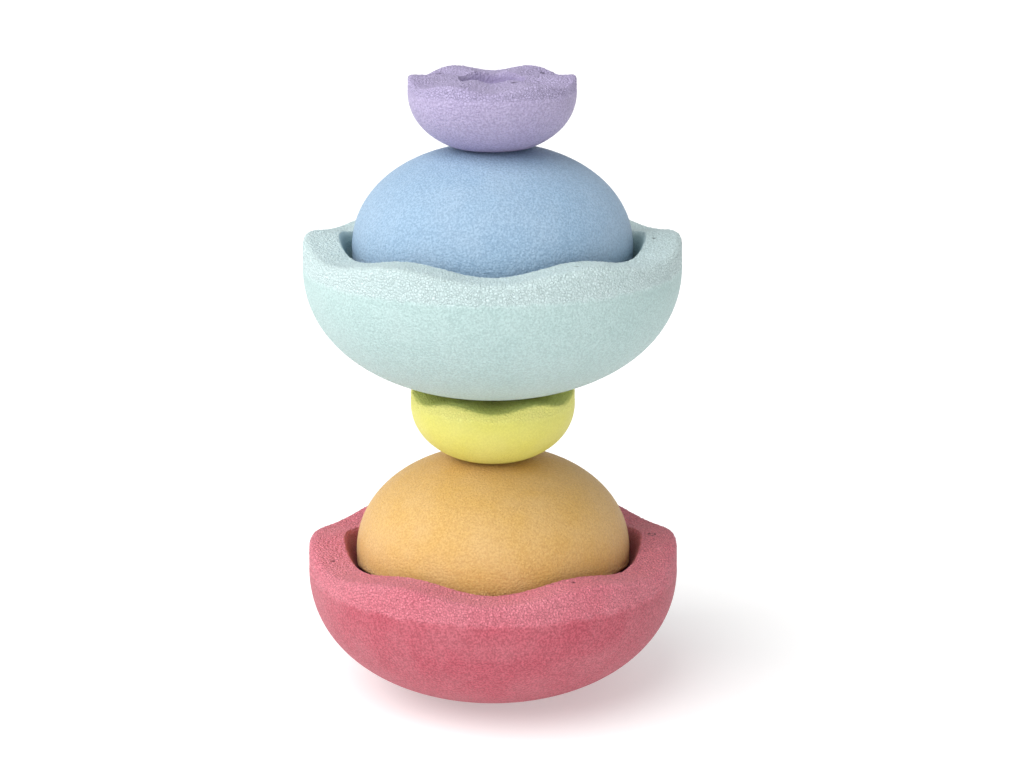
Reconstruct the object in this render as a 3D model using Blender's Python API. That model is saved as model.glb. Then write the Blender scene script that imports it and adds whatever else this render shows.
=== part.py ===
"""Tower of six stacking stones: wavy-rimmed foam bowls and domes in three sizes.

Each stone is one moulded piece. A large bowl stands on its flat foot, a medium stone lies
upside down in its mouth as a dome, and a small bowl stands on the dome. The same three are
stacked again on top. Metres, +Z up, origin on the floor at the middle of the tower.
"""

import bpy
import bmesh
import math
import numpy as np
from mathutils import Matrix

# Every stone: the rim rises and dips in six waves, with a dip at the front (-Y).
WAVES = 6
GAP = 0.0003                 # clearance kept where one stone rests on another
WALL_LEAN = 2.2              # the wall above the parting line leans in as an ellipse this much
                             # taller than the dome below it
HOLLOW_SPACING = 0.8         # below 1, the hollow's rings crowd towards its floor
COLLECTION = "stacking_stone_tower"

# Driving sizes of the three moulds, in metres, measured with the bowl upright on its foot.
LARGE = {
    "radius": 0.1375,        # at the parting line, the widest place
    "foot": 0.033,           # radius of the flat foot
    "dome": 0.0948,          # half height of the superellipse that the dome follows
    "fullness": 2.18,        # its power: 2 is an ellipse
    "rim": 0.1109,           # mean height of the rim's outer edge
    "lip": 0.1109,           # mean height of the mouth's edge
    "mouth": 0.1106,         # radius of the mouth
    "floor": 0.0255,         # thickness of the base under the hollow
    "bowl": 2.5,             # power of the hollow's outline: 2 is a parabola
    "rim_wave": 0.0041,      # height of the wave, up and down, at the rim's outer edge
    "lip_wave": 0.0039,      # and at the mouth
    "rim_round": 0.0075,     # radius of the rim's outer edge
    "lip_round": 0.0026,     # radius of the mouth's edge
    "fade": 0.013,           # depth below the mouth where the wave has died away
    "segments": 48,
}
MEDIUM = {
    "radius": 0.1019,
    "foot": 0.016,
    "dome": 0.0747,
    "fullness": 2.10,
    "rim": 0.0831,
    "lip": 0.0831,
    "mouth": 0.0832,
    "floor": 0.021,
    "bowl": 2.0,
    "rim_wave": 0.0030,
    "lip_wave": 0.0029,
    "rim_round": 0.0056,
    "lip_round": 0.0022,
    "fade": 0.010,
    "segments": 48,
}
SMALL = {
    "radius": 0.0606,
    "foot": 0.029,
    "dome": 0.0445,
    "fullness": 2.16,
    "rim": 0.0480,
    "lip": 0.0489,
    "mouth": 0.0232,
    "floor": 0.024,
    "bowl": 2.0,
    "rim_wave": 0.0034,
    "lip_wave": 0.0013,
    "rim_round": 0.0036,
    "lip_round": 0.0015,
    "fade": 0.010,
    "segments": 36,
}

# The tower from the floor up: node name, mould, upside down or not, colour (linear RGB).
STONES = [
    ("red_bowl", LARGE, False, (0.64, 0.18, 0.22)),
    ("orange_dome", MEDIUM, True, (0.80, 0.49, 0.18)),
    ("yellow_bowl", SMALL, False, (0.71, 0.65, 0.16)),
    ("mint_bowl", LARGE, False, (0.55, 0.71, 0.69)),
    ("blue_dome", MEDIUM, True, (0.36, 0.51, 0.70)),
    ("lilac_bowl", SMALL, False, (0.45, 0.41, 0.60)),
]
FOAM_ROUGHNESS = 0.85


def parting_height(mould):
    """Height of the parting line: the foot's plane cuts the bottom off the superellipse."""
    share = (mould["foot"] / mould["radius"]) ** mould["fullness"]
    return mould["dome"] * (1.0 - share) ** (1.0 / mould["fullness"])


def dome_points(mould, count):
    """From the foot's edge up to the parting line, along the superellipse."""
    parting = parting_height(mould)
    power = mould["fullness"]
    lowest = math.acos((mould["foot"] / mould["radius"]) ** (power / 2.0))
    points = []
    for step in range(count + 1):
        angle = lowest * (1.0 - step / count)
        radius = mould["radius"] * math.cos(angle) ** (2.0 / power)
        depth = mould["dome"] * math.sin(angle) ** (2.0 / power)
        points.append((radius, parting - depth))
    return points


def wall_radius(mould, height):
    """Radius of the outer wall above the parting line."""
    rise = (height - parting_height(mould)) / (WALL_LEAN * mould["dome"])
    return mould["radius"] * math.sqrt(1.0 - rise * rise)


def arc(centre, radius, start, end, count):
    """Points of an arc between two angles in degrees, measured from +r towards +z."""
    angles = np.radians(np.linspace(start, end, count + 1))
    return [(centre[0] + radius * math.cos(a), centre[1] + radius * math.sin(a)) for a in angles]


def hollow_height(mould, radius):
    """Height of the hollow's wall, which grows with a power of the radius."""
    depth = mould["lip"] - mould["floor"]
    return mould["floor"] + depth * (radius / mould["mouth"]) ** mould["bowl"]


def rim_points(mould):
    """Over the rim: outer wall, its rounded edge, the top face and the mouth's rounded edge.

    The mouth's edge is an arc that touches both the top face and the hollow's sloping wall.
    """
    edge = mould["rim_round"]
    shoulder = mould["rim"] - edge
    corner = wall_radius(mould, shoulder) - edge
    points = arc((corner, shoulder), edge, 0.0, 90.0, 4)
    points.append((0.5 * (corner + mould["mouth"]), 0.5 * (mould["rim"] + mould["lip"])))
    lip = mould["lip_round"]
    slope = mould["bowl"] * (mould["lip"] - mould["floor"]) / mould["mouth"]
    setback = lip * (math.sqrt(1.0 + slope * slope) - 1.0) / slope
    centre = (mould["mouth"] + setback, mould["lip"] - lip)
    points += arc(centre, lip, 90.0, 90.0 + math.degrees(math.atan(slope)), 2)
    return points


def hollow_points(mould, start, count):
    """Down the hollow's wall from a radius just inside the mouth to the middle of its floor."""
    points = []
    for step in range(1, count):
        radius = start * math.cos(0.5 * math.pi * step / count) ** HOLLOW_SPACING
        points.append((radius, hollow_height(mould, radius)))
    points.append((0.0, mould["floor"]))
    return points


def stone_profile(mould):
    """The turned outline from the hollow's floor over the rim and down to the foot's middle."""
    upwards = [(0.0, 0.0)]
    upwards += dome_points(mould, 8)
    upwards += rim_points(mould)
    upwards += hollow_points(mould, upwards[-1][0], 6)
    return upwards[::-1]


def smooth_step(value):
    value = min(max(value, 0.0), 1.0)
    return value * value * (3.0 - 2.0 * value)


def wave_lift(mould, radius, height, angle):
    """How far the wave moves a point of the turned stone up or down."""
    if radius > 0.5 * (mould["radius"] + mould["mouth"]):
        start = parting_height(mould)
        end = mould["rim"] - 0.5 * mould["rim_round"]
    else:
        start = mould["lip"] - mould["fade"]
        end = mould["lip"] - mould["lip_round"]
    across = (radius - mould["mouth"]) / (mould["radius"] - mould["mouth"])
    across = min(max(across, 0.0), 1.0)
    size = mould["lip_wave"] + across * (mould["rim_wave"] - mould["lip_wave"])
    return -size * math.cos(WAVES * angle) * smooth_step((height - start) / (end - start))


def crest_outline(mould):
    """The profile as it is where the wave is highest."""
    crest = math.pi / WAVES
    return np.array([(r, z + wave_lift(mould, r, z, crest)) for r, z in stone_profile(mould)])


def dense(outline):
    """The outline with points close together, so that distances between outlines are true."""
    lengths = np.hypot(*np.diff(outline, axis=0).T)
    pieces = []
    for start, end, length in zip(outline[:-1], outline[1:], lengths):
        shares = np.linspace(0.0, 1.0, max(2, int(length / 0.0004)))[:, None]
        pieces.append(start + shares * (end - start))
    return np.vstack(pieces)


def seat_height(upper, lower, low, high):
    """Lowest place of the upper outline that keeps GAP to the lower one, by halving."""
    upper = dense(upper)
    lower = dense(lower)
    for _ in range(24):
        middle = 0.5 * (low + high)
        spread = upper[:, None, :] + (0.0, middle) - lower[None, :, :]
        if np.min(np.hypot(spread[..., 0], spread[..., 1])) > GAP:
            high = middle
        else:
            low = middle
    return high


def turn_profile(mould):
    """Mesh of one upright stone: the profile turned about Z, then waved."""
    mesh = bmesh.new()
    points = [mesh.verts.new((0.0, -r, z)) for r, z in stone_profile(mould)]
    edges = [mesh.edges.new(pair) for pair in zip(points[:-1], points[1:])]
    bmesh.ops.spin(
        mesh, geom=points + edges, cent=(0, 0, 0), axis=(0, 0, 1),
        angle=2.0 * math.pi, steps=mould["segments"], use_merge=True,
    )
    bmesh.ops.remove_doubles(mesh, verts=mesh.verts, dist=0.00002)
    for vert in mesh.verts:
        radius = math.hypot(vert.co.x, vert.co.y)
        angle = math.atan2(vert.co.x, -vert.co.y)
        vert.co.z += wave_lift(mould, radius, vert.co.z, angle)
    return mesh


def foam_material(name, colour):
    material = bpy.data.materials.new(name)
    material.use_nodes = True
    shader = material.node_tree.nodes["Principled BSDF"]
    shader.inputs["Base Color"].default_value = (*colour, 1.0)
    shader.inputs["Roughness"].default_value = FOAM_ROUGHNESS
    shader.inputs["Metallic"].default_value = 0.0
    return material


def make_stone(name, mould, upside_down, colour, height, collection):
    """One stone as its own object; height is the place of its foot, which is on top if it is
    upside down."""
    mesh = turn_profile(mould)
    if upside_down:
        bmesh.ops.transform(mesh, matrix=Matrix.Rotation(math.pi, 4, "Y"), verts=mesh.verts)
    data = bpy.data.meshes.new(name)
    mesh.to_mesh(data)
    mesh.free()
    data.shade_smooth()
    data.set_sharp_from_angle(angle=math.radians(40.0))
    data.materials.append(foam_material(name + "_foam", colour))
    stone = bpy.data.objects.new(name, data)
    stone.location.z = height
    collection.objects.link(stone)
    return stone


def stack_heights():
    """Foot height of each stone, each resting on the one below with its gap."""
    dome = crest_outline(MEDIUM) * (1.0, -1.0)
    in_bowl = seat_height(dome, crest_outline(LARGE), LARGE["rim"], 2.0 * LARGE["rim"])
    on_small = seat_height(crest_outline(LARGE), crest_outline(SMALL), 0.0, 2.0 * SMALL["rim"])
    heights = []
    base = 0.0
    for level in range(2):
        heights.append(base)
        heights.append(base + in_bowl)
        heights.append(base + in_bowl + GAP)
        base += in_bowl + GAP + on_small
    return heights


def clear_scene():
    for item in list(bpy.data.objects):
        bpy.data.objects.remove(item, do_unlink=True)


def build():
    clear_scene()
    collection = bpy.data.collections.new(COLLECTION)
    bpy.context.scene.collection.children.link(collection)
    heights = stack_heights()
    for (name, mould, upside_down, colour), height in zip(STONES, heights):
        make_stone(name, mould, upside_down, colour, height, collection)


build()
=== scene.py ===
"""Tower of six moulded foam stones: a wavy bowl, a dome and a small bowl, stacked twice over.

Every stone is one moulding of bead foam. Its outline is turned through one wave of the rim and
repeated round the axis, and the rim is raised and dipped. Its skin then gets the relief of the
beads: coarse and crumbly from the parting line over the rim, fine and tight on the dome.
"""

import math

import bmesh
import bpy
import numpy as np
from mathutils import Matrix, Vector, noise


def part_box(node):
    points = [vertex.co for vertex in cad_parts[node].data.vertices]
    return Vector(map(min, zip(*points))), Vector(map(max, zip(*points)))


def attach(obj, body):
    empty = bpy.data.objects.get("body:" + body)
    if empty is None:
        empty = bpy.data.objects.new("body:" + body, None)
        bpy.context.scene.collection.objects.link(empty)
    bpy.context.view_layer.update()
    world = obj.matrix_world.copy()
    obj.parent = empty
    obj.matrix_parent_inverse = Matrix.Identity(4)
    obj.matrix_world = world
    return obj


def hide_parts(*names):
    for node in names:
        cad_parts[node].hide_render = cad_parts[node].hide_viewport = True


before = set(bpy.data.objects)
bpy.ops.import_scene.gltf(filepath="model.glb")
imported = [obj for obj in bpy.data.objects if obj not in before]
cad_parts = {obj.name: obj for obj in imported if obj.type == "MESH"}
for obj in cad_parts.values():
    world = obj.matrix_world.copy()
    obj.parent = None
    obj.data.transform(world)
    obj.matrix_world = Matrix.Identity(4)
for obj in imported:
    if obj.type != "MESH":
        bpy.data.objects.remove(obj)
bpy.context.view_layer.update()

MM = 0.001                  # metres in a millimetre

# ---------------------------------------------------------------------------- moulds
# The three moulds in millimetres, bowl upright on its foot. A stone is scaled to the width of
# its own node.
#   radius     at the parting line, the widest place
#   foot       radius of the flat foot
#   dome       half height of the superellipse that the dome follows
#   fullness   its power: 2 is an ellipse
#   rim, lip   mean heights of the rim's outer edge and of the mouth's edge
#   mouth      radius of the mouth
#   floor      thickness of the base under the hollow
#   bowl       power of the hollow's outline: 2 is a parabola
#   rim_wave   height of the wave, up and down, at the rim's outer edge
#   lip_wave   and at the mouth's edge
#   rim_round  radius of the rim's outer edge
#   lip_round  radius of the mouth's edge
#   fade       depth below the mouth where the wave has died away
#   steps      faces of the mesh across one wave
LARGE = {
    "radius": 137.5, "foot": 33.0, "dome": 94.8, "fullness": 2.18,
    "rim": 110.9, "lip": 110.9, "mouth": 110.6, "floor": 25.5, "bowl": 2.5,
    "rim_wave": 4.1, "lip_wave": 3.9, "rim_round": 6.0, "lip_round": 1.5, "fade": 13.0,
    "steps": 108,
}
MEDIUM = {
    "radius": 101.9, "foot": 16.0, "dome": 74.7, "fullness": 2.10,
    "rim": 83.1, "lip": 83.1, "mouth": 83.2, "floor": 21.0, "bowl": 2.0,
    "rim_wave": 3.0, "lip_wave": 2.9, "rim_round": 4.6, "lip_round": 1.5, "fade": 10.0,
    "steps": 88,
}
SMALL = {
    "radius": 60.6, "foot": 29.0, "dome": 44.5, "fullness": 2.16,
    "rim": 48.6, "lip": 49.5, "mouth": 24.3, "floor": 24.0, "bowl": 2.0,
    "rim_wave": 2.4, "lip_wave": 1.0, "rim_round": 2.7, "lip_round": 0.9, "fade": 10.0,
    "steps": 66,
}

WAVES = 6                   # times that the rim rises and dips on its way round
WALL_LEAN = 2.2             # the wall above the parting line leans in as an ellipse this much
                            # taller than the dome

# Millimetres between the rings of the mesh.
RIM_SPACING = 0.85
LIP_SPACING = 0.7 * RIM_SPACING
DOME_SPACING = 2.6
FOOT_SPACING = 2.0 * DOME_SPACING
HOLLOW_SPACING = 4.5
PARTING_SPACING = 0.6
CURVE_SAMPLES = 400         # points along a curve when its length is measured
MERGE_DISTANCE = 0.002      # mm between points that are one

# ---------------------------------------------------------------------------- outline


def parting_height(mould):
    """Height of the parting line: the foot's plane cuts the bottom off the superellipse."""
    share = (mould["foot"] / mould["radius"]) ** mould["fullness"]
    return mould["dome"] * (1.0 - share) ** (1.0 / mould["fullness"])


def wall_radius(mould, height):
    """Radius of the outer wall above the parting line."""
    rise = (height - parting_height(mould)) / (WALL_LEAN * mould["dome"])
    return mould["radius"] * math.sqrt(1.0 - rise * rise)


def walk(curve, spacing):
    """Points along a curve of t from 0 to 1, evenly spaced by length, without its start."""
    fine = np.array([curve(t) for t in np.linspace(0.0, 1.0, CURVE_SAMPLES)])
    length = np.concatenate(([0.0], np.cumsum(np.hypot(*np.diff(fine, axis=0).T))))
    count = max(2, round(length[-1] / spacing))
    stops = np.linspace(0.0, length[-1], count + 1)[1:]
    return list(zip(np.interp(stops, length, fine[:, 0]), np.interp(stops, length, fine[:, 1])))


def straight(start, end):
    """Straight line between two points, as a curve of t."""
    return lambda t: (start[0] + t * (end[0] - start[0]), start[1] + t * (end[1] - start[1]))


def arc(centre, radius, start, end):
    """Arc between two angles in degrees, measured from outwards towards up."""
    def curve(t):
        angle = math.radians(start + t * (end - start))
        return centre[0] + radius * math.cos(angle), centre[1] + radius * math.sin(angle)
    return curve


def dome_curve(mould):
    """Superellipse from the foot's edge up to the parting line."""
    parting = parting_height(mould)
    power = mould["fullness"]
    lowest = math.acos((mould["foot"] / mould["radius"]) ** (power / 2.0))

    def curve(t):
        angle = lowest * (1.0 - t)
        radius = mould["radius"] * math.cos(angle) ** (2.0 / power)
        return radius, parting - mould["dome"] * math.sin(angle) ** (2.0 / power)
    return curve


def wall_curve(mould, start, end):
    """The outer wall between two heights above the parting line."""
    def curve(t):
        height = start + t * (end - start)
        return wall_radius(mould, height), height
    return curve


def hollow_height(mould, radius):
    """Height of the hollow's wall, which grows with a power of the radius."""
    depth = mould["lip"] - mould["floor"]
    return mould["floor"] + depth * (radius / mould["mouth"]) ** mould["bowl"]


def hollow_curve(mould, start):
    """The hollow's wall from a radius inside the mouth down to the middle of its floor."""
    def curve(t):
        radius = start * (1.0 - t)
        return radius, hollow_height(mould, radius)
    return curve


def stone_outline(mould):
    """(radius, height) from the foot's middle, up the dome, over the rim, into the hollow.

    The mouth's edge is an arc that touches both the crown and the hollow's sloping wall.
    """
    parting = parting_height(mould)
    edge = mould["rim_round"]
    shoulder = mould["rim"] - edge
    corner = wall_radius(mould, shoulder) - edge
    lip = mould["lip_round"]
    slope = mould["bowl"] * (mould["lip"] - mould["floor"]) / mould["mouth"]
    setback = lip * (math.sqrt(1.0 + slope * slope) - 1.0) / slope
    lip_centre = (mould["mouth"] + setback, mould["lip"] - lip)
    lip_end = 90.0 + math.degrees(math.atan(slope))

    outline = [(0.0, 0.0)]
    outline += walk(straight((0.0, 0.0), (mould["foot"], 0.0)), FOOT_SPACING)
    outline += walk(dome_curve(mould), DOME_SPACING)
    outline += [(mould["radius"], parting + PARTING_SPACING)]
    wall_start = parting + 2.0 * PARTING_SPACING
    outline += walk(wall_curve(mould, wall_start, shoulder), RIM_SPACING)
    outline += walk(arc((corner, shoulder), edge, 0.0, 90.0), RIM_SPACING)
    outline += walk(straight((corner, mould["rim"]), (lip_centre[0], mould["lip"])), RIM_SPACING)
    outline += walk(arc(lip_centre, lip, 90.0, lip_end), LIP_SPACING)
    outline += walk(hollow_curve(mould, outline[-1][0]), HOLLOW_SPACING)
    return outline


def smooth_step(value, low, high):
    """0 below the low value, 1 above the high one, and a smooth rise between them."""
    share = min(max((value - low) / (high - low), 0.0), 1.0)
    return share * share * (3.0 - 2.0 * share)


def wave_lift(mould, radius, height, angle):
    """How far the six waves raise or lower a point of the turned stone."""
    if radius > 0.5 * (mould["radius"] + mould["mouth"]):
        fade = smooth_step(height, parting_height(mould),
                           mould["rim"] - 0.5 * mould["rim_round"])
    else:
        fade = smooth_step(height, mould["lip"] - mould["fade"],
                           mould["lip"] - mould["lip_round"])
    across = (radius - mould["mouth"]) / (mould["radius"] - mould["mouth"])
    across = min(max(across, 0.0), 1.0)
    size = mould["lip_wave"] + across * (mould["rim_wave"] - mould["lip_wave"])
    return -size * math.cos(WAVES * angle) * fade


# ---------------------------------------------------------------------------- skin relief
# All relief goes inwards from the mould's face. Sizes and depths are in millimetres.
BEAD = 2.9                  # size of the beads that crumble out of the rim's skin
BEAD_RELIEF = 0.42
BEAD_SEAM = 1.6             # how narrow the seams between the beads are
CRUMB = 2.0                 # size of the smaller unevenness over them
CRUMB_RELIEF = 0.32
CRUMB_CONTRAST = 0.9
FLAT_BEAD = 5.0             # the dome's beads are pressed nearly flat
FLAT_RELIEF = 0.05
SWELL = 44.0                # slow unevenness of a large moulding
SWELL_RELIEF = 0.14
PIT_DEPTH = 1.4             # of a hole where a bead has fallen out of the rim
PIT_FLOOR = 0.25            # share of the hole's width where it is deepest
FOOT_FADE = 9.0             # height over which the relief comes in above the flat foot
PARTING_STEP = 0.05         # how far the rim's skin stands proud of the dome's
PARTING_BLUR = 1.3          # the coarse skin comes in over this much below and above the
                            # parting line, which itself wanders as far up and down
PARTING_BEND = 5.0          # size of the parting line's bends
COARSE_END = (1.2, 0.3)     # depths below the mouth's edge, in its radii, where the coarse skin
                            # has ended and where it is whole
SEED_STEP = (311.0, 173.0, 59.0)    # moves each stone to its own part of the noise

# Painted shade inside the hollow, by depth as a share of the hollow's.
SHADE_IN = (0.01, 0.09)     # it comes in here
SHADE_OUT = (0.22, 0.6)     # and is partly lost again here, towards the floor
SHADE_LOSS = 0.55
HOLLOW_MARGIN = 0.5         # mm within which a point counts as on the hollow's wall


def unit_noise(place):
    """Smooth noise between about 0 and 1."""
    return 0.5 + 0.5 * noise.noise(place)


def skin_relief(place, rim_skin):
    """Depth of the skin below the mould's face at a place."""
    depth = SWELL_RELIEF * unit_noise(place / SWELL)
    if rim_skin < 1.0:
        depth += (1.0 - rim_skin) * FLAT_RELIEF * unit_noise(place / FLAT_BEAD)
    if rim_skin > 0.0:
        near, far = noise.voronoi(place / BEAD)[0][:2]
        seam = 1.0 - min(BEAD_SEAM * (far - near), 1.0)
        crumb = min(max(0.5 + CRUMB_CONTRAST * noise.noise(place / CRUMB), 0.0), 1.0)
        depth += rim_skin * (BEAD_RELIEF * seam * seam + CRUMB_RELIEF * crumb)
    return depth


def rim_skin_share(mould, place, offset):
    """1 where the skin is coarse: from the parting line over the rim to the mouth's edge."""
    if math.hypot(place.x, place.y) > mould["mouth"]:
        wander = noise.noise((place + offset) / PARTING_BEND)
        start = parting_height(mould) + PARTING_BLUR * wander
        return smooth_step(place.z, start - PARTING_BLUR, start + PARTING_BLUR)
    ended, whole = COARSE_END
    return smooth_step(place.z, mould["lip"] - ended * mould["lip_round"],
                       mould["lip"] - whole * mould["lip_round"])


def hollow_shade(mould, radius, height):
    """Share of the painted shade inside the hollow at a point of the turned stone."""
    on_wall = height > hollow_height(mould, radius) - HOLLOW_MARGIN
    if radius >= mould["mouth"] or not on_wall:
        return 0.0
    sunk = (mould["lip"] - height) / (mould["lip"] - mould["floor"])
    return smooth_step(sunk, *SHADE_IN) * (1.0 - SHADE_LOSS * smooth_step(sunk, *SHADE_OUT))


# ---------------------------------------------------------------------------- stone mesh


def turn_wave(outline, steps):
    """The outline turned through one wave and repeated round the axis."""
    mesh = bmesh.new()
    verts = [mesh.verts.new((0.0, -r, z)) for r, z in reversed(outline)]
    edges = [mesh.edges.new(pair) for pair in zip(verts[:-1], verts[1:])]
    sector = 2.0 * math.pi / WAVES
    bmesh.ops.spin(mesh, geom=verts + edges, cent=(0, 0, 0), axis=(0, 0, 1),
                   angle=sector, steps=steps)
    first = mesh.verts[:] + mesh.edges[:] + mesh.faces[:]
    for turn in range(1, WAVES):
        copy = bmesh.ops.duplicate(mesh, geom=first)["geom"]
        bmesh.ops.rotate(mesh, cent=(0, 0, 0), matrix=Matrix.Rotation(turn * sector, 3, "Z"),
                         verts=[item for item in copy if isinstance(item, bmesh.types.BMVert)])
    bmesh.ops.remove_doubles(mesh, verts=mesh.verts, dist=MERGE_DISTANCE)
    bmesh.ops.recalc_face_normals(mesh, faces=mesh.faces)
    return mesh


def crown_place(mould, angle, share):
    """Point on the crown: degrees from the front, share of the way from the mouth outwards."""
    radius = mould["mouth"] + share * (mould["radius"] - mould["rim_round"] - mould["mouth"])
    height = mould["lip"] + share * (mould["rim"] - mould["lip"])
    turn = math.radians(angle)
    height += wave_lift(mould, radius, height, turn)
    return Vector((radius * math.sin(turn), -radius * math.cos(turn), height))


def wave_and_skin(mesh, mould, offset, pits):
    """Waves the turned stone and gives it its skin.

    The material reads three attributes: rim_skin is 1 on the coarse skin, pit is 1 in a hole,
    which it darkens as painted shade, and hollow is the share of the painted shade inside the
    hollow.
    """
    rim_layer = mesh.verts.layers.float.new("rim_skin")
    pit_layer = mesh.verts.layers.float.new("pit")
    hollow_shade_layer = mesh.verts.layers.float.new("hollow")
    for vert in mesh.verts:
        radius = math.hypot(vert.co.x, vert.co.y)
        angle = math.atan2(vert.co.x, -vert.co.y)
        vert[rim_layer] = rim_skin_share(mould, vert.co, offset)
        vert[hollow_shade_layer] = hollow_shade(mould, radius, vert.co.z)
        vert.co.z += wave_lift(mould, radius, vert.co.z, angle)
    mesh.normal_update()
    lowered = []
    for vert in mesh.verts:
        share = vert[rim_layer]
        depth = skin_relief(vert.co + offset, share) + PARTING_STEP * (1.0 - share)
        depth *= smooth_step(vert.co.z, 0.0, FOOT_FADE)
        for pit, width in pits:
            hole = 1.0 - smooth_step((vert.co - pit).length, PIT_FLOOR * width, width)
            depth += PIT_DEPTH * hole
            vert[pit_layer] = max(vert[pit_layer], hole)
        lowered.append(vert.co - vert.normal * depth)
    for vert, place in zip(mesh.verts, lowered):
        vert.co = place


def stone_piece(name, node, stone, seed, material):
    """One stone in place of its CAD node, as wide as that is."""
    mould = stone["mould"]
    upside_down = stone["upside_down"]
    low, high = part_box(node)
    scale = 0.5 * (high[0] - low[0]) / mould["radius"]
    foot = high[2] if upside_down else low[2]
    offset = Vector([seed * step for step in SEED_STEP])
    pits = [(crown_place(mould, angle, share), width) for angle, share, width in stone["holes"]]

    mesh = turn_wave(stone_outline(mould), mould["steps"])
    wave_and_skin(mesh, mould, offset, pits)
    bmesh.ops.scale(mesh, vec=(scale, scale, scale), verts=mesh.verts)
    if upside_down:
        bmesh.ops.rotate(mesh, cent=(0, 0, 0), matrix=Matrix.Rotation(math.pi, 3, "Y"),
                         verts=mesh.verts)
    bmesh.ops.translate(mesh, vec=(0.0, 0.0, foot), verts=mesh.verts)

    data = bpy.data.meshes.new(name)
    mesh.to_mesh(data)
    mesh.free()
    data.shade_smooth()
    data.materials.append(material)
    piece = bpy.data.objects.new(name, data)
    bpy.context.scene.collection.objects.link(piece)
    return piece


# ---------------------------------------------------------------------------- shader nodes
MIX_FIRST = 6               # the colour sockets of a Mix node, which share their names with
MIX_SECOND = 7              # those of its other kinds
MIX_RESULT = 2


def group_tree(name, inputs, outputs):
    """An empty shader node group: inputs are (name, kind, value), outputs (name, kind)."""
    tree = bpy.data.node_groups.new(name, "ShaderNodeTree")
    for label, kind, value in inputs:
        socket = tree.interface.new_socket(name=label, in_out="INPUT", socket_type=kind)
        if value is not None:
            socket.default_value = value
    for label, kind in outputs:
        tree.interface.new_socket(name=label, in_out="OUTPUT", socket_type=kind)
    return tree, tree.nodes.new("NodeGroupInput"), tree.nodes.new("NodeGroupOutput")


def math_node(tree, operation, *values):
    """One math step on sockets and plain numbers."""
    node = tree.nodes.new("ShaderNodeMath")
    node.operation = operation
    for socket, value in zip(node.inputs, values):
        if isinstance(value, (int, float)):
            socket.default_value = value
        else:
            tree.links.new(value, socket)
    return node.outputs[0]


def map_range(tree, value, low, high, to_low=0.0, to_high=1.0):
    """Smooth step between two values, from one result to another."""
    node = tree.nodes.new("ShaderNodeMapRange")
    node.interpolation_type = "SMOOTHSTEP"
    tree.links.new(value, node.inputs["Value"])
    node.inputs["From Min"].default_value = low
    node.inputs["From Max"].default_value = high
    node.inputs["To Min"].default_value = to_low
    node.inputs["To Max"].default_value = to_high
    return node.outputs["Result"]


def in_units_of(tree, vector, size):
    """A place measured in units of a size in metres."""
    node = tree.nodes.new("ShaderNodeVectorMath")
    node.operation = "SCALE"
    tree.links.new(vector, node.inputs[0])
    tree.links.new(math_node(tree, "DIVIDE", 1.0, size), node.inputs["Scale"])
    return node.outputs[0]


def noise_node(tree, vector, scale, detail=2.0, roughness=0.5):
    node = tree.nodes.new("ShaderNodeTexNoise")
    node.inputs["Scale"].default_value = scale
    node.inputs["Detail"].default_value = detail
    node.inputs["Roughness"].default_value = roughness
    tree.links.new(vector, node.inputs["Vector"])
    return node


def cell_node(tree, vector, feature):
    """Cells one unit wide: nearest point, or distance to the edge between two cells."""
    node = tree.nodes.new("ShaderNodeTexVoronoi")
    node.feature = feature
    node.inputs["Scale"].default_value = 1.0
    tree.links.new(vector, node.inputs["Vector"])
    return node


def mix_colours(tree, factor, first, second):
    """Mixes two colours, each a socket or an (r, g, b), by a socket's value."""
    node = tree.nodes.new("ShaderNodeMix")
    node.data_type = "RGBA"
    tree.links.new(factor, node.inputs["Factor"])
    for value, socket in ((first, node.inputs[MIX_FIRST]), (second, node.inputs[MIX_SECOND])):
        if isinstance(value, tuple):
            socket.default_value = (*value, 1.0)
        else:
            tree.links.new(value, socket)
    return node.outputs[MIX_RESULT]


def attribute_value(tree, name):
    """Value of one of the mesh's own attributes."""
    node = tree.nodes.new("ShaderNodeAttribute")
    node.attribute_name = name
    return node.outputs["Fac"]


# ---------------------------------------------------------------------------- shared effects
CELL_BEND = 1.3             # bends of the beads' outlines, to each bead
CELL_BEND_SIZE = 0.55       # how far they go, in beads
CELL_SEAM = 0.16            # width of the seam between two beads, in beads
CELL_SEAM_DEPTH = 0.35
WRINKLE_ROUGHNESS = 0.55

RING_RADIUS = 2.7           # mm
RING_WIDTH = 0.85           # mm from the groove's middle to its edge
RING_FLOOR = 0.3            # share of that where the groove is deepest
RING_BREAKS = 260.0         # noise that breaks the ring, per metre
RING_KEPT = (0.30, 0.50)    # its values where the ring is gone and where it is whole


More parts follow.
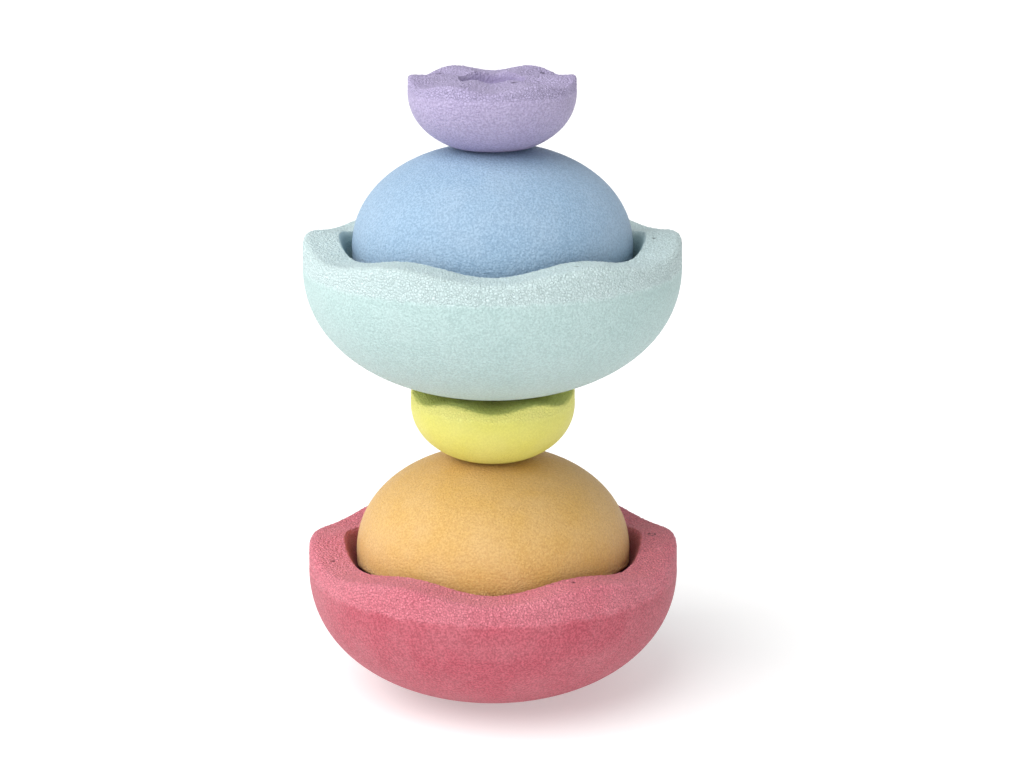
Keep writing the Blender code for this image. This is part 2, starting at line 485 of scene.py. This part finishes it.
def bead_grain_group():
    """Foam beads: pressed cells with seams between them, and fine wrinkles over them."""
    tree, inside, outside = group_tree(
        "bead_grain",
        [("Vector", "NodeSocketVector", None), ("Bead Size", "NodeSocketFloat", 0.0026),
         ("Wrinkle Size", "NodeSocketFloat", 0.0012), ("Wrinkle Share", "NodeSocketFloat", 0.5)],
        [("Height", "NodeSocketFloat"), ("Seam", "NodeSocketFloat")],
    )
    links = tree.links
    place = in_units_of(tree, inside.outputs["Vector"], inside.outputs["Bead Size"])
    bend = noise_node(tree, place, CELL_BEND, detail=1.0)
    bent = tree.nodes.new("ShaderNodeVectorMath")
    bent.operation = "MULTIPLY_ADD"
    links.new(bend.outputs["Color"], bent.inputs[0])
    bent.inputs[1].default_value = (CELL_BEND_SIZE, CELL_BEND_SIZE, CELL_BEND_SIZE)
    links.new(place, bent.inputs[2])
    cells = cell_node(tree, bent.outputs[0], "F1")
    edges = cell_node(tree, bent.outputs[0], "DISTANCE_TO_EDGE")

    fine_place = in_units_of(tree, inside.outputs["Vector"], inside.outputs["Wrinkle Size"])
    wrinkles = noise_node(tree, fine_place, 1.0, roughness=WRINKLE_ROUGHNESS)

    seam = map_range(tree, edges.outputs["Distance"], 0.0, CELL_SEAM, 1.0, 0.0)
    bead = math_node(tree, "SUBTRACT", 1.0, cells.outputs["Distance"])
    bead = math_node(tree, "MULTIPLY_ADD", seam, -CELL_SEAM_DEPTH, bead)
    share = inside.outputs["Wrinkle Share"]
    kept = math_node(tree, "MULTIPLY", bead, math_node(tree, "SUBTRACT", 1.0, share))
    height = math_node(tree, "MULTIPLY_ADD", wrinkles.outputs["Fac"], share, kept)
    links.new(height, outside.inputs["Height"])
    links.new(seam, outside.inputs["Seam"])
    return tree


def cloudiness_group():
    """Slow unevenness of a moulding's colour and gloss, from 0 to 1 around 0.5."""
    tree, inside, outside = group_tree(
        "moulding_clouds",
        [("Vector", "NodeSocketVector", None), ("Size", "NodeSocketFloat", 0.03)],
        [("Clouds", "NodeSocketFloat")],
    )
    place = in_units_of(tree, inside.outputs["Vector"], inside.outputs["Size"])
    clouds = noise_node(tree, place, 1.0, detail=3.0)
    tree.links.new(map_range(tree, clouds.outputs["Fac"], 0.25, 0.75), outside.inputs["Clouds"])
    return tree


def ring_group():
    """A thin broken ring in the skin: 1 in its groove."""
    tree, inside, outside = group_tree(
        "shallow_ring",
        [("Vector", "NodeSocketVector", None), ("Centre", "NodeSocketVector", None)],
        [("Groove", "NodeSocketFloat")],
    )
    reach = tree.nodes.new("ShaderNodeVectorMath")
    reach.operation = "DISTANCE"
    tree.links.new(inside.outputs["Vector"], reach.inputs[0])
    tree.links.new(inside.outputs["Centre"], reach.inputs[1])
    off = math_node(tree, "SUBTRACT", reach.outputs["Value"], RING_RADIUS * MM)
    off = math_node(tree, "ABSOLUTE", off)
    line = map_range(tree, off, RING_FLOOR * RING_WIDTH * MM, RING_WIDTH * MM, 1.0, 0.0)
    worn = noise_node(tree, inside.outputs["Vector"], RING_BREAKS)
    kept = map_range(tree, worn.outputs["Fac"], *RING_KEPT)
    tree.links.new(math_node(tree, "MULTIPLY", line, kept), outside.inputs["Groove"])
    return tree


# ---------------------------------------------------------------------------- foam material
SPECULAR = 0.28
SHEEN_ROUGHNESS = 0.45
GLOSSY_ROUGHNESS = 0.50     # of the skin's glossiest clouds
DULL_ROUGHNESS = 0.58       # and of its dullest
RIM_ROUGHNESS = 0.06        # more on the rim

RIM_GRAIN = (0.0020, 0.0010)    # metres across a bead and a wrinkle
DOME_GRAIN = (0.0021, 0.0009)
WRINKLE_SHARE = 0.5
RING_DEPTH = 0.8            # mm

SAND = 1.5                  # mm, size of the specks in the skin's colour
SPECK_RANGE = (0.36, 0.64)  # noise where a speck starts and where it is full
RIM_SPECK_LOSS = 0.50       # share of the specks that the rim is without
CLOUD_COLOUR = (0.9, 0.9, 0.9)
CLOUD_SHARE = 0.06
DOME_SEAM_SHARE = 0.14      # share of the seams' colour in them
RIM_SEAM_SHARE = 0.08       # and how much more of it on the rim
HOLE_SHADE = 0.12          # painted shade in a hole, as a share of the seams' colour
RING_SHADE = 0.75           # share of that painted shade in the ring's groove
TEXTURE_STEP = (0.37, 0.91, 0.53)   # metres, moves each stone to its own part of the textures


def grain_node(tree, group, vector, sizes):
    node = tree.nodes.new("ShaderNodeGroup")
    node.node_tree = group
    tree.links.new(vector, node.inputs["Vector"])
    node.inputs["Bead Size"].default_value = sizes[0]
    node.inputs["Wrinkle Size"].default_value = sizes[1]
    node.inputs["Wrinkle Share"].default_value = WRINKLE_SHARE
    return node


def foam_material(name, stone, ring, groups, seed):
    """Bead foam in a stone's colours; the coarse skin shows where rim_skin is 1.

    The ring is the place of a shallow ring in the skin, or None.
    """
    material = bpy.data.materials.new(name)
    material.use_nodes = True
    tree = material.node_tree
    links = tree.links
    shader = tree.nodes["Principled BSDF"]
    shader.inputs["Metallic"].default_value = 0.0
    shader.inputs["Specular IOR Level"].default_value = SPECULAR
    shader.inputs["Sheen Weight"].default_value = stone["sheen"]
    shader.inputs["Sheen Roughness"].default_value = SHEEN_ROUGHNESS

    coordinates = tree.nodes.new("ShaderNodeTexCoord")
    mapping = tree.nodes.new("ShaderNodeMapping")
    mapping.inputs["Location"].default_value = [seed * step for step in TEXTURE_STEP]
    links.new(coordinates.outputs["Object"], mapping.inputs["Vector"])
    vector = mapping.outputs[0]
    rim = attribute_value(tree, "rim_skin")
    hole = attribute_value(tree, "pit")
    hollow_shade_share = attribute_value(tree, "hollow")
    coarse = grain_node(tree, groups["bead_grain"], vector, RIM_GRAIN)
    fine = grain_node(tree, groups["bead_grain"], vector, DOME_GRAIN)
    cloud_node = tree.nodes.new("ShaderNodeGroup")
    cloud_node.node_tree = groups["moulding_clouds"]
    links.new(vector, cloud_node.inputs["Vector"])
    clouds = cloud_node.outputs["Clouds"]

    # fine relief: coarse grain on the rim, fine grain on the dome
    coarse_height = math_node(tree, "MULTIPLY", coarse.outputs["Height"], stone["rim_grain"])
    fine_height = math_node(tree, "MULTIPLY", fine.outputs["Height"], stone["dome_grain"])
    coarse_part = math_node(tree, "MULTIPLY", coarse_height, rim)
    fine_part = math_node(tree, "MULTIPLY", fine_height, math_node(tree, "SUBTRACT", 1.0, rim))
    relief = math_node(tree, "ADD", coarse_part, fine_part)
    groove = None
    if ring:
        marks = tree.nodes.new("ShaderNodeGroup")
        marks.node_tree = groups["shallow_ring"]
        links.new(coordinates.outputs["Object"], marks.inputs["Vector"])
        marks.inputs["Centre"].default_value = ring
        groove = marks.outputs["Groove"]
        relief = math_node(tree, "MULTIPLY_ADD", groove, -RING_DEPTH, relief)
    bump = tree.nodes.new("ShaderNodeBump")
    bump.inputs["Strength"].default_value = 1.0
    bump.inputs["Distance"].default_value = MM
    links.new(relief, bump.inputs["Height"])
    links.new(bump.outputs["Normal"], shader.inputs["Normal"])

    # colour: darker specks, slow pale clouds, deeper seams, painted shade inside the hollow, and
    # painted shade in the holes and the ring's groove
    skin = mix_colours(tree, rim, stone["dome"], stone["rim"])
    # painted shade inside the hollow, deepest a little below the mouth
    skin = mix_colours(tree, hollow_shade_share, skin, stone["hollow"])
    sand = noise_node(tree, vector, 1.0 / (SAND * MM), detail=1.0)
    speck = map_range(tree, sand.outputs["Fac"], *SPECK_RANGE, 0.0, stone["specks"])
    kept = math_node(tree, "MULTIPLY_ADD", rim, -RIM_SPECK_LOSS, 1.0)
    skin = mix_colours(tree, math_node(tree, "MULTIPLY", speck, kept), skin, stone["seam"])
    cloud = math_node(tree, "MULTIPLY", clouds, CLOUD_SHARE)
    skin = mix_colours(tree, cloud, skin, CLOUD_COLOUR)
    seam_share = math_node(tree, "MULTIPLY_ADD", rim, RIM_SEAM_SHARE, DOME_SEAM_SHARE)
    seam = math_node(tree, "MULTIPLY", coarse.outputs["Seam"], seam_share)
    skin = mix_colours(tree, seam, skin, stone["seam"])
    # painted shade in the holes where beads have fallen out
    hole_shade = tuple(HOLE_SHADE * part for part in stone["seam"])
    skin = mix_colours(tree, hole, skin, hole_shade)
    if groove:
        # painted shade in the ring's groove
        groove_shade = math_node(tree, "MULTIPLY", groove, RING_SHADE)
        skin = mix_colours(tree, groove_shade, skin, hole_shade)
    links.new(skin, shader.inputs["Base Color"])

    gloss = map_range(tree, clouds, 0.0, 1.0, GLOSSY_ROUGHNESS, DULL_ROUGHNESS)
    links.new(math_node(tree, "MULTIPLY_ADD", rim, RIM_ROUGHNESS, gloss),
              shader.inputs["Roughness"])
    return material


# ---------------------------------------------------------------------------- the tower
# One entry for each CAD node.
#   dome, rim, seam, hollow  colours below the parting line, above it, of the seams and specks,
#                            and of the painted shade inside the hollow
#   rim_grain, dome_grain    heights of the fine relief, in millimetres
#   specks                   share of the seams' colour in the specks
#   sheen                    weight of the pale sheen at grazing angles
#   holes                    in the crown: degrees from the front, share of the way outwards,
#                            width in millimetres
STONES = {
    "red_bowl": {
        "mould": LARGE,
        "upside_down": False,
        "dome": (0.58, 0.113, 0.157),
        "rim": (0.97, 0.268, 0.344),
        "seam": (0.34, 0.045, 0.07),
        "hollow": (0.29, 0.042, 0.038),
        "rim_grain": 3.0,
        "dome_grain": 1.05,
        "specks": 0.75,
        "sheen": 0.05,
        "holes": [(28.5, 0.40, 2.0), (-71.0, 0.62, 1.8), (163.0, 0.45, 2.0)],
    },
    "orange_dome": {
        "mould": MEDIUM,
        "upside_down": True,
        "dome": (0.672, 0.410, 0.125),
        "rim": (0.80, 0.50, 0.18),
        "seam": (0.50, 0.26, 0.06),
        "hollow": (0.54, 0.29, 0.08),
        "rim_grain": 1.6,
        "dome_grain": 0.55,
        "specks": 0.52,
        "sheen": 0.12,
        "holes": [(40.0, 0.5, 2.0)],
    },
    "yellow_bowl": {
        "mould": SMALL,
        "upside_down": False,
        "dome": (0.76, 0.73, 0.163),
        "rim": (0.90, 0.88, 0.24),
        "seam": (0.56, 0.53, 0.09),
        "hollow": (0.60, 0.56, 0.09),
        "rim_grain": 1.3,
        "dome_grain": 0.36,
        "specks": 0.22,
        "sheen": 0.0,
        "holes": [(95.0, 0.55, 2.0)],
    },
    "mint_bowl": {
        "mould": LARGE,
        "upside_down": False,
        "dome": (0.485, 0.652, 0.638),
        "rim": (0.70, 0.86, 0.865),
        "seam": (0.33, 0.46, 0.45),
        "hollow": (0.10, 0.22, 0.26),
        "rim_grain": 2.1,
        "dome_grain": 0.75,
        "specks": 0.55,
        "sheen": 0.0,
        "holes": [(27.5, 0.64, 2.1), (84.0, 0.30, 2.1), (-128.0, 0.5, 2.0)],
    },
    "blue_dome": {
        "mould": MEDIUM,
        "upside_down": True,
        "dome": (0.332, 0.485, 0.645),
        "rim": (0.40, 0.55, 0.71),
        "seam": (0.18, 0.29, 0.43),
        "hollow": (0.21, 0.32, 0.46),
        "rim_grain": 1.7,
        "dome_grain": 0.68,
        "specks": 0.56,
        "sheen": 0.08,
        "holes": [(-35.0, 0.6, 2.0)],
    },
    "lilac_bowl": {
        "mould": SMALL,
        "upside_down": False,
        "dome": (0.505, 0.437, 0.655),
        "rim": (0.575, 0.50, 0.765),
        "seam": (0.29, 0.24, 0.41),
        "hollow": (0.31, 0.26, 0.46),
        "rim_grain": 2.6,
        "dome_grain": 1.10,
        "specks": 0.58,
        "sheen": 0.0,
        "holes": [(26.5, 0.34, 3.6), (131.5, 0.74, 2.9), (-129.5, 0.77, 2.7)],
    },
}
# A shallow ring left on a crown by the mould: degrees from the front, share of the way outwards.
EJECTOR_RINGS = {"red_bowl": (91.5, 0.39)}


def make_stones():
    """All six stones, each riding on its own node's body in place of that node."""
    groups = {
        "bead_grain": bead_grain_group(),
        "moulding_clouds": cloudiness_group(),
        "shallow_ring": ring_group(),
    }
    for seed, (node, stone) in enumerate(STONES.items(), 1):
        finish = node.split("_")[0] + "_foam"
        ring = EJECTOR_RINGS.get(node)
        if ring:
            foot = Vector((0.0, 0.0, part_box(node)[0][2]))
            ring = crown_place(stone["mould"], *ring) * MM + foot
        material = foam_material(finish, stone, ring, groups, seed)
        piece = stone_piece(node + "_moulding", node, stone, seed, material)
        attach(piece, node)
        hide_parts(node)


# ---------------------------------------------------------------------------- studio
LENS = 90.86                # mm
SENSOR_WIDTH = 36.0         # mm
CAMERA_DISTANCE = 1.834     # metres in front of the tower
CAMERA_HEIGHT = 0.723
CAMERA_TILT = 15.0          # degrees down
CAMERA_TURN = 0.44          # degrees to the right

WHITE = (1.0, 1.0, 1.0, 1.0)
FLOOR_SIZE = 60.0
FLOOR_COLOUR = (0.70, 0.70, 0.70, 1.0)
FLOOR_ROUGHNESS = 0.9
FLOOR_GLOW = 0.38           # the pale floor glows a little, so the shadow on it stays faint
AIR_STRENGTH = 0.50
SOFT_LIGHT_STRENGTH = 2.55
SOFT_LIGHT_SPREAD = 55.0    # degrees across
SOFT_LIGHT_FROM = (-0.82, -0.95, 1.60)
# name: place, what it shines at, width and height in metres, watts
SOFTBOXES = {
    "side_softbox": ((-1.4, 0.25, 0.8), (0.0, 0.0, 0.22), (1.0, 1.3), 8.0),
    "low_softbox": ((0.3, -1.9, 0.2), (0.0, 0.0, 0.2), (1.2, 0.6), 4.0),
}


def place_light(name, lamp, place, target):
    """Hangs a lamp at a place and turns it to shine at a point."""
    light = bpy.data.objects.new(name, lamp)
    light.location = place
    direction = Vector(target) - light.location
    light.rotation_euler = direction.to_track_quat("-Z", "Y").to_euler()
    bpy.context.scene.collection.objects.link(light)


def make_camera():
    lens = bpy.data.cameras.new("camera")
    lens.lens = LENS
    lens.sensor_width = SENSOR_WIDTH
    camera = bpy.data.objects.new("camera", lens)
    camera.location = (0.0, -CAMERA_DISTANCE, CAMERA_HEIGHT)
    camera.rotation_euler = (math.radians(90.0 - CAMERA_TILT), 0.0, math.radians(-CAMERA_TURN))
    bpy.context.scene.collection.objects.link(camera)
    bpy.context.scene.camera = camera


def make_floor():
    mesh = bmesh.new()
    bmesh.ops.create_grid(mesh, x_segments=1, y_segments=1, size=0.5 * FLOOR_SIZE)
    data = bpy.data.meshes.new("floor")
    mesh.to_mesh(data)
    mesh.free()
    paper = bpy.data.materials.new("floor_paper")
    paper.use_nodes = True
    shader = paper.node_tree.nodes["Principled BSDF"]
    shader.inputs["Base Color"].default_value = FLOOR_COLOUR
    shader.inputs["Roughness"].default_value = FLOOR_ROUGHNESS
    shader.inputs["Emission Color"].default_value = WHITE
    shader.inputs["Emission Strength"].default_value = FLOOR_GLOW
    data.materials.append(paper)
    floor = bpy.data.objects.new("floor", data)
    bpy.context.scene.collection.objects.link(floor)


def make_lights():
    """Even white air, one wide soft light from the upper left, and two weak softboxes."""
    scene = bpy.context.scene
    world = bpy.data.worlds.new("studio_air")
    scene.world = world
    world.use_nodes = True
    backdrop = world.node_tree.nodes["Background"]
    backdrop.inputs["Color"].default_value = WHITE
    backdrop.inputs["Strength"].default_value = AIR_STRENGTH

    lamp = bpy.data.lights.new("wide_soft_light", "SUN")
    lamp.energy = SOFT_LIGHT_STRENGTH
    lamp.angle = math.radians(SOFT_LIGHT_SPREAD)
    place_light("wide_soft_light", lamp, SOFT_LIGHT_FROM, (0.0, 0.0, 0.0))
    for name, (place, target, size, watts) in SOFTBOXES.items():
        lamp = bpy.data.lights.new(name, "AREA")
        lamp.shape = "RECTANGLE"
        lamp.size, lamp.size_y = size
        lamp.energy = watts
        place_light(name, lamp, place, target)
    scene.view_settings.view_transform = "Standard"


make_camera()
make_floor()
make_lights()
make_stones()
